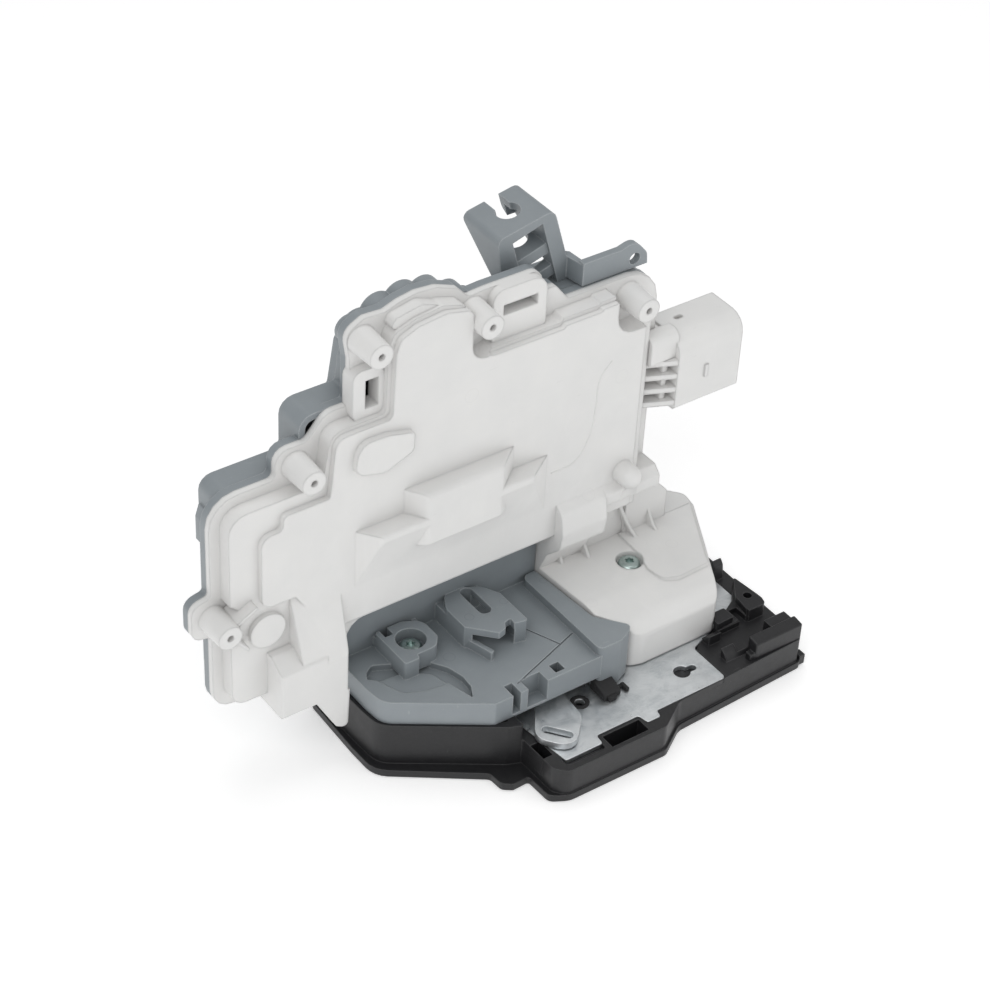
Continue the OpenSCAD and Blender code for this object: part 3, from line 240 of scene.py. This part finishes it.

# The grey rear shell, clip tower and latch cover: the same moulding work in
# a blue-grey plastic with a slightly glossier skin, with a painted highlight along its edges.
grey = Finish("grey_plastic", (0.27, 0.30, 0.32), 0.40, spec=0.5)
clouds = grey.grain(70, 4.0, 0.62, seed=11.0)
scuffs = grey.grain(170, 6.0, 0.75, stretch=(1, 5, 1), seed=15.0, warp=0.6).above(0.65, 0.03)
marks = grey.pin_marks(((-60.7, 10.3, 27.5, 1.9), (-50.3, 14.7, 36.1, 1.5), (-36.6, 15.1, 36.1, 1.3),
                        (-16.0, 21.5, 30.8, 1.2), (-40, 40, 60, 3.0), (-110, 40, 70, 3.0), (-6, 40, 70, 3.0)))
base = grey.mix(clouds, (0.235, 0.262, 0.282), (0.31, 0.342, 0.362))
# painted shade: the corners and grooves of the grey pieces made darker
base = grey.mix(grey.painted_crease_shade(7) * 0.7, base, (0.13, 0.145, 0.155))
# painted highlight: the outer edges of the grey pieces made paler
base = grey.mix(grey.painted_edge_highlight(0.6, 0.03) * 0.75, base, (0.50, 0.53, 0.545))
base = grey.mix(marks * 0.3, base, (0.15, 0.17, 0.18))
grey.feed("Base Color", grey.mix(scuffs * 0.35, base, (0.42, 0.45, 0.465)))
grey.feed("Roughness", grey.grain(220, 3.0, seed=12.0) * 0.2 + scuffs * 0.15 + 0.28)
relief = grey.grain(2400, 2.0, seed=13.0) + grey.grain(110, 2.0, seed=14.0) * 1.2 - marks * 2.2 - scuffs * 0.3
grey.bump(relief, strength=0.2, deep=SKIN_DEEP, soften=0.6)
for name, width in (("rear_shell", 0.45), ("cable_bracket", 0.35), ("latch_cover", 0.3)):
    dress(name, grey, width)

# The black tray: moulded in glass-filled plastic, harder and duller, with the
# fine speckle and flow marks of its fibres. The racks, switches, inside-handle
# lever and catch jacket share it.
black = Finish("black_plastic", (0.014, 0.014, 0.015), 0.36, spec=0.42)
fibre = black.grain(900, 3.0, 0.7, stretch=(1, 0.35, 1), seed=21.0)
flow = black.grain(60, 5.0, 0.65, stretch=(0.5, 1, 1), seed=24.0, warp=1.0)
scuffs = black.grain(200, 6.0, 0.8, stretch=(1, 5, 1), seed=25.0, warp=0.8).above(0.66, 0.025)
base = black.mix(fibre * 0.6 + flow * 0.4, (0.007, 0.007, 0.008), (0.026, 0.026, 0.028))
# painted highlight: the outer edges of the black pieces made paler
base = black.mix(black.painted_edge_highlight(0.45) * 0.6, base, (0.12, 0.12, 0.122))
black.feed("Base Color", black.mix(scuffs * 0.5, base, (0.11, 0.11, 0.112)))
black.feed("Roughness", black.grain(260, 4.0, 0.65, seed=22.0) * 0.24 + flow * 0.16 + 0.20)
relief = black.grain(1800, 3.0, 0.65, seed=23.0) - scuffs * 0.5
black.bump(relief, strength=0.3, deep=SKIN_DEEP, soften=0.6)
dress("latch_housing", black, width=0.35, segments=2)
black.on_nodes("lock_rack", "safe_rack", "micro_switches", "inner_lever", "catch_jacket")

# The white wiring socket: a moulding of its own in the cover's plastic, with a
# collar where it leaves the case and slanted ribs on its front.
dress("connector", white, width=0.35)

# The zinc-plated sheet pieces: the face and back plates, the release lever
# and its sliding link, stamped and then plated, with a blotchy sheen.
PLATING_DEEP = 0.03 * MM
zinc = Finish("zinc_plate", (0.74, 0.76, 0.77), 0.34, metal=0.92)
spangle = zinc.add("ShaderNodeTexVoronoi", {"feature": "F1", "distance": "EUCLIDEAN"}, (),
                   {"Vector": zinc.place(), "Scale": 420.0, "Randomness": 1.0})
clouds = zinc.grain(240, 5.0, 0.7, seed=31.0, warp=0.6)
smoke = zinc.grain(75, 6.0, 0.72, stretch=(1, 1.8, 1), seed=34.0, warp=0.9)
scratches = zinc.grain(330, 3.0, 0.6, stretch=(1, 16, 1), seed=35.0).above(0.64, 0.03)
base = zinc.mix(clouds, (0.60, 0.63, 0.65), (0.86, 0.88, 0.89))
base = zinc.mix(smoke.above(0.56, 0.1) * 0.45, base, (0.40, 0.44, 0.46))
# painted highlight: the outer edges of the zinc pieces made brighter
base = zinc.mix(zinc.painted_edge_highlight(0.35) * 0.7, base, (0.93, 0.94, 0.95))
zinc.feed("Base Color", zinc.mix(scratches * 0.4, base, (0.92, 0.93, 0.94)))
dull = clouds.above(0.5, 0.12) * 0.14 + zinc.grain(700, 3.0, seed=32.0) * 0.12
zinc.feed("Roughness", dull + spangle * 0.1 + smoke * 0.12 + 0.14)
relief = zinc.grain(1300, 3.0, 0.6, seed=33.0) + scratches * 0.6
zinc.bump(relief, strength=0.3, deep=PLATING_DEEP, soften=0.3)
for name, width in (("back_plate", 0.2), ("release_lever", 0.35), ("face_plate", 0.4), ("release_bar", 0.2)):
    dress(name, zinc, width, segments=2)

# The steel inside: the catch, pawl, springs, worms and motor cans in dark
# steel, and the pins, rivets and axles in brighter, ground steel.
steel = Finish("dark_steel", (0.36, 0.365, 0.37), 0.36, metal=1.0)
clouds = steel.grain(500, 4.0, 0.6, stretch=(1, 4, 1), seed=41.0)
steel.feed("Base Color", steel.mix(clouds, (0.28, 0.285, 0.29), (0.44, 0.445, 0.45)))
steel.feed("Roughness", clouds * 0.2 + 0.26)
steel.on_nodes("catch", "pawl", "catch_spring", "pawl_spring", "lock_worm", "safe_worm", "lock_motor", "safe_motor")
pin_steel = Finish("pin_steel", (0.55, 0.56, 0.57), 0.28, metal=1.0)
pin_steel.uneven(900, seed=43.0, spread=0.2, least=0.2)
pin_steel.on_nodes("catch_pin", "pawl_pin", "lever_pivot", "gear_axles", "inner_pivot")

# The other inner pieces: stamped brass for the terminals and the contact
# strip, moulded acetal for the two worm wheels, rubber for the stop and seal.
brass = Finish("terminal_brass", (0.70, 0.55, 0.27), 0.3, metal=1.0)
brass.uneven(800, seed=51.0, spread=0.2, least=0.22)
brass.on_nodes("terminals", "contact_strip")
acetal = Finish("gear_plastic", (0.72, 0.69, 0.58), 0.38)
acetal.uneven(500, seed=52.0, spread=0.2, least=0.3)
acetal.on_nodes("lock_gear", "safe_gear")
rubber = Finish("rubber_black", (0.02, 0.02, 0.021), 0.7)
rubber.uneven(900, seed=53.0, spread=0.2, least=0.6)
rubber.on_nodes("catch_buffer", "case_seal")

# The two case screws in front: steel pan heads, zinc-plated and passivated
# to a green-blue tint, one in the grey collar and one in the white foot.
screw_zinc = Finish("screw_zinc", (0.45, 0.53, 0.51), 0.3, metal=1.0)
tint = screw_zinc.grain(900, 3.0, 0.6, seed=61.0)
screw_zinc.feed("Base Color", screw_zinc.mix(tint, (0.30, 0.42, 0.40), (0.62, 0.68, 0.66)))
screw_zinc.feed("Roughness", tint * 0.25 + 0.2)
dress("case_screws", screw_zinc, width=0.12, segments=2, angle=40)

# The faint raised line on the white panel: the seam of two mould inserts, a
# fraction of a millimetre proud, swung in a flat S from the right boss down.
PANEL_Y = 19.4
SEAM_RADIUS = 0.45
SEAM_SUNK = 0.28  # how far behind the panel's face the round seam has its middle
seam = bpy.data.curves.new("panel_seam", "CURVE")
seam.dimensions = "3D"
seam.bevel_depth = SEAM_RADIUS * MM
seam.bevel_resolution = 3
seam.resolution_u = 8
seam.use_fill_caps = True
seam_path = seam.splines.new("BEZIER")
seam_points = ((3.4, 112.5), (-0.6, 107.5), (-1.5, 97.0), (-3.4, 85.5), (-8.5, 78.2), (-17.5, 77.2))
seam_path.bezier_points.add(len(seam_points) - 1)
for knot, (x, z) in zip(seam_path.bezier_points, seam_points):
    knot.co = (x * MM, (PANEL_Y + SEAM_SUNK) * MM, z * MM)
    knot.handle_left_type = knot.handle_right_type = "AUTO"
seam_object = bpy.data.objects.new("panel_seam", seam)
bpy.context.scene.collection.objects.link(seam_object)
white.on(seam_object)
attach(seam_object, frame["nodes"]["front_cover"]["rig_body"])

# The rubber stop on the back plate, under the grey ridge: a small black block
# with a slanting top and lugs beside it, pressed into holes of the plate.
PLATE_TOP = 12.5
SEATED = PLATE_TOP - 0.02


def finished(name, bm, carrier, finish):
    """Turns a made shape into a piece with its finish, which rides where a CAD piece does."""
    bmesh.ops.recalc_face_normals(bm, faces=bm.faces)
    for face in bm.faces:
        face.smooth = True
    mesh = bpy.data.meshes.new(name)
    bm.to_mesh(mesh)
    bm.free()
    piece = bpy.data.objects.new(name, mesh)
    bpy.context.scene.collection.objects.link(piece)
    even = piece.modifiers.new("shading", "WEIGHTED_NORMAL")
    even.keep_sharp = False
    finish.on(piece)
    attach(piece, frame["nodes"][carrier]["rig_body"])


def bevelled_bar(bm, low, high, round_off, drop=0.0):
    """A bar between two corners with rounded edges; its front top can slope down."""
    made = bmesh.ops.create_cube(bm, size=1.0)["verts"]
    bmesh.ops.scale(bm, verts=made, vec=[(high[i] - low[i]) * MM for i in range(3)])
    bmesh.ops.translate(bm, verts=made, vec=[(high[i] + low[i]) / 2 * MM for i in range(3)])
    lowered = [v for v in made if v.co.z > (low[2] + high[2]) / 2 * MM and v.co.y < (low[1] + high[1]) / 2 * MM]
    bmesh.ops.translate(bm, verts=lowered, vec=(0, 0, -drop * MM))
    edges = list({edge for v in made for edge in v.link_edges})
    bmesh.ops.bevel(bm, geom=edges, offset=round_off * MM, offset_type="OFFSET", segments=3, profile=0.5,
                    affect="EDGES", material=-1)


stop = bmesh.new()
bevelled_bar(stop, (-21.4, -20.8, SEATED), (-14.6, -12.8, 17.6), 0.6, drop=2.6)
bevelled_bar(stop, (-20.2, -21.9, SEATED), (-17.0, -20.2, 14.4), 0.35)
bevelled_bar(stop, (-15.0, -18.6, SEATED), (-11.6, -17.2, 13.7), 0.35)
bevelled_bar(stop, (-12.6, -20.8, SEATED), (-11.2, -17.2, 14.0), 0.35)
finished("plate_stop", stop, "back_plate", rubber)

# The thick front of the cable cradle, moulded in one with the black tray: it
# stands flush with the tray's front wall and carries the end of the sleeve.
cradle = bmesh.new()
bevelled_bar(cradle, (32.8, -31.2, 8.0), (52.4, -26.8, 19.4), 0.5, drop=0.7)
bevelled_bar(cradle, (30.8, -30.8, 8.0), (33.4, -28.2, 14.8), 0.4)
finished("cradle_front", cradle, "latch_housing", black)

# The grommet in the small hole of the back plate: a thin black ring, low
# enough for the release lever to pass over it.
GROMMET_RING = ((1.7, -0.6), (1.7, 0.2), (2.0, 0.28), (2.9, 0.28), (3.2, 0.12), (3.2, -0.02))


def turned(bm, profile, centre, axis):
    """Spins a profile of (radius, height) points once round an axis."""
    side, middle, axis = Vector((1, 0, 0)), Vector(centre) * MM, Vector(axis)
    chain = [bm.verts.new(middle + side * r * MM + axis * h * MM) for r, h in profile]
    edges = [bm.edges.new(pair) for pair in zip(chain, chain[1:])]
    bmesh.ops.spin(bm, geom=chain + edges, cent=middle, axis=axis, angle=math.tau, steps=64, use_merge=True)
    bmesh.ops.remove_doubles(bm, verts=bm.verts, dist=0.002 * MM)


grommet = bmesh.new()
turned(grommet, GROMMET_RING, (-28, -16.5, PLATE_TOP), (0, 0, 1))
finished("plate_grommet", grommet, "back_plate", rubber)

# Three of the five self-tapping screws behind the bosses of the white cover:
# pan heads with a six-lobed recess, driven from the rear through the grey shell.
HEAD_RADIUS = 2.7
HEAD_HIGH = 1.7
HEAD_CURVE = ((1.0, 0.0), (1.0, 0.4), (0.93, 0.75), (0.76, 0.97), (0.6, 1.0))  # shares of the radius and height
RECESS_RADIUS = HEAD_RADIUS * 0.46
RECESS_WAIST = 0.74  # how far its lobes draw in between
RECESS_DEEP = 1.0


def pan_head(name, x, seat, z):
    """A screw's head that sits on a face turned to the rear."""
    bm = bmesh.new()
    levels = []
    for out, up in HEAD_CURVE:
        ring = bmesh.ops.create_circle(bm, cap_ends=False, segments=24, radius=HEAD_RADIUS * out * MM)["verts"]
        bmesh.ops.translate(bm, verts=ring, vec=(0, 0, HEAD_HIGH * up * MM))
        levels.append(ring)
    for high, closed in ((HEAD_HIGH, False), (HEAD_HIGH - RECESS_DEEP, True)):
        star = bmesh.ops.create_circle(bm, cap_ends=closed, segments=24, radius=RECESS_RADIUS * MM)["verts"]
        waist = [v for i, v in enumerate(star) if i % 4 in (1, 2)]
        bmesh.ops.scale(bm, verts=waist, vec=(RECESS_WAIST, RECESS_WAIST, 1))
        bmesh.ops.translate(bm, verts=star, vec=(0, 0, high * MM))
        levels.append(star)
    loops = [{edge for v in level for edge in v.link_edges} for level in levels]
    for outer, inner in zip(loops, loops[1:]):
        bmesh.ops.bridge_loops(bm, edges=list(outer | inner))
    bmesh.ops.rotate(bm, verts=bm.verts, cent=(0, 0, 0), matrix=Matrix.Rotation(math.radians(-90), 3, "X"))
    bmesh.ops.translate(bm, verts=bm.verts, vec=(x * MM, seat * MM, z * MM))
    finished(name, bm, "rear_shell", screw_zinc)


for number, (x, seat, z) in enumerate(((-107.7, 33.8, 113.2), (-136.7, 33.8, 67.4), (13.4, 40.0, 129.8)), 1):
    pan_head(f"rear_screw_{number}", x, seat, z)

# Stiffening on the back of the grey shell: low domes over the two worm wheels
# and a few thin ribs, moulded in one with it.
SHELL_BACK = 40.0
BULGE_BACK = 50.4
RIB_ROOT = 39.9
RIB_TOP = 41.0
stiff = bmesh.new()
for x, back, z, rim in ((-47, SHELL_BACK, 89.5, 17.0), (-56.5, BULGE_BACK, 121.0, 16.0)):
    dome = ((rim, -0.05), (rim, 0.5), (rim - 0.4, 0.85), (rim - 4.0, 0.85), (rim - 4.5, 0.4), (3.6, 0.4),
            (3.2, 1.2), (2.8, 1.5), (0.0, 1.5))
    turned(stiff, dome, (x, back, z), (0, 1, 0))
for left, low, right, high in ((-126, 44, -124.6, 100), (-104, 30, -102.6, 104), (-124.6, 70, -104, 71.4),
                               (-102.6, 58, -20, 59.4), (2, 34, 3.4, 96), (3.4, 64, 20, 65.4)):
    bevelled_bar(stiff, (left, RIB_ROOT, low), (right, RIB_TOP, high), 0.3)
finished("shell_ribs", stiff, "rear_shell", grey)

# The table that the part lies on, a pale and slightly glowing sheet, so that
# the part stands on white as it does in the photograph.
TABLE_DROP = 0.3  # how far below the part's lowest face its top lies
TABLE_GLOW = 0.35
table = bmesh.new()
bmesh.ops.create_grid(table, x_segments=1, y_segments=1, size=3.0)
bmesh.ops.translate(table, verts=table.verts, vec=(0, 0, -TABLE_DROP * MM))
table_mesh = bpy.data.meshes.new("table")
table.to_mesh(table_mesh)
table.free()
floor = bpy.data.objects.new("table", table_mesh)
bpy.context.scene.collection.objects.link(floor)
table_finish = Finish("table", (0.93, 0.93, 0.93), 0.6)
table_finish.uneven(8, seed=71.0, spread=0.05, least=0.6, detail=2.0)
table_finish.shader.inputs["Emission Color"].default_value = (1.0, 1.0, 1.0, 1.0)
table_finish.shader.inputs["Emission Strength"].default_value = TABLE_GLOW
table_finish.on(floor)

# Light and camera: an even white studio with three soft boxes, seen through
# a long lens from above the front left, as solved from the photograph.
SKY_STRENGTH = 0.42
MIDDLE = Vector((-0.045, 0.01, 0.07))
sky = bpy.data.worlds.new("studio")
bpy.context.scene.world = sky
sky.use_nodes = True
background = sky.node_tree.nodes["Background"]
background.inputs["Color"].default_value = (1.0, 1.0, 1.0, 1.0)
background.inputs["Strength"].default_value = SKY_STRENGTH
for name, place, size, power in (("key", (-0.75, -0.55, 0.95), 0.7, 4.0), ("top", (0.1, 0.25, 1.2), 0.9, 3.5),
                                 ("fill", (0.65, -0.75, 0.5), 0.8, 1.6)):
    lamp = bpy.data.lights.new(name, "AREA")
    lamp.shape = "SQUARE"
    lamp.size = size
    lamp.energy = power
    lamp_object = bpy.data.objects.new(name, lamp)
    bpy.context.scene.collection.objects.link(lamp_object)
    lamp_object.location = place
    lamp_object.rotation_euler = (MIDDLE - Vector(place)).to_track_quat("-Z", "Y").to_euler()

camera = bpy.data.cameras.new("camera")
camera.lens = 94.80
camera.sensor_width = 36.0
camera_object = bpy.data.objects.new("camera", camera)
bpy.context.scene.collection.objects.link(camera_object)
camera_object.matrix_world = Matrix((
    (0.81397, 0.33135, -0.47714, -0.4251),
    (-0.57921, 0.52566, -0.62305, -0.4845),
    (0.04436, 0.78351, 0.61979, 0.5789),
    (0, 0, 0, 1)))
bpy.context.scene.camera = camera_object
bpy.context.scene.view_settings.view_transform = "Standard"
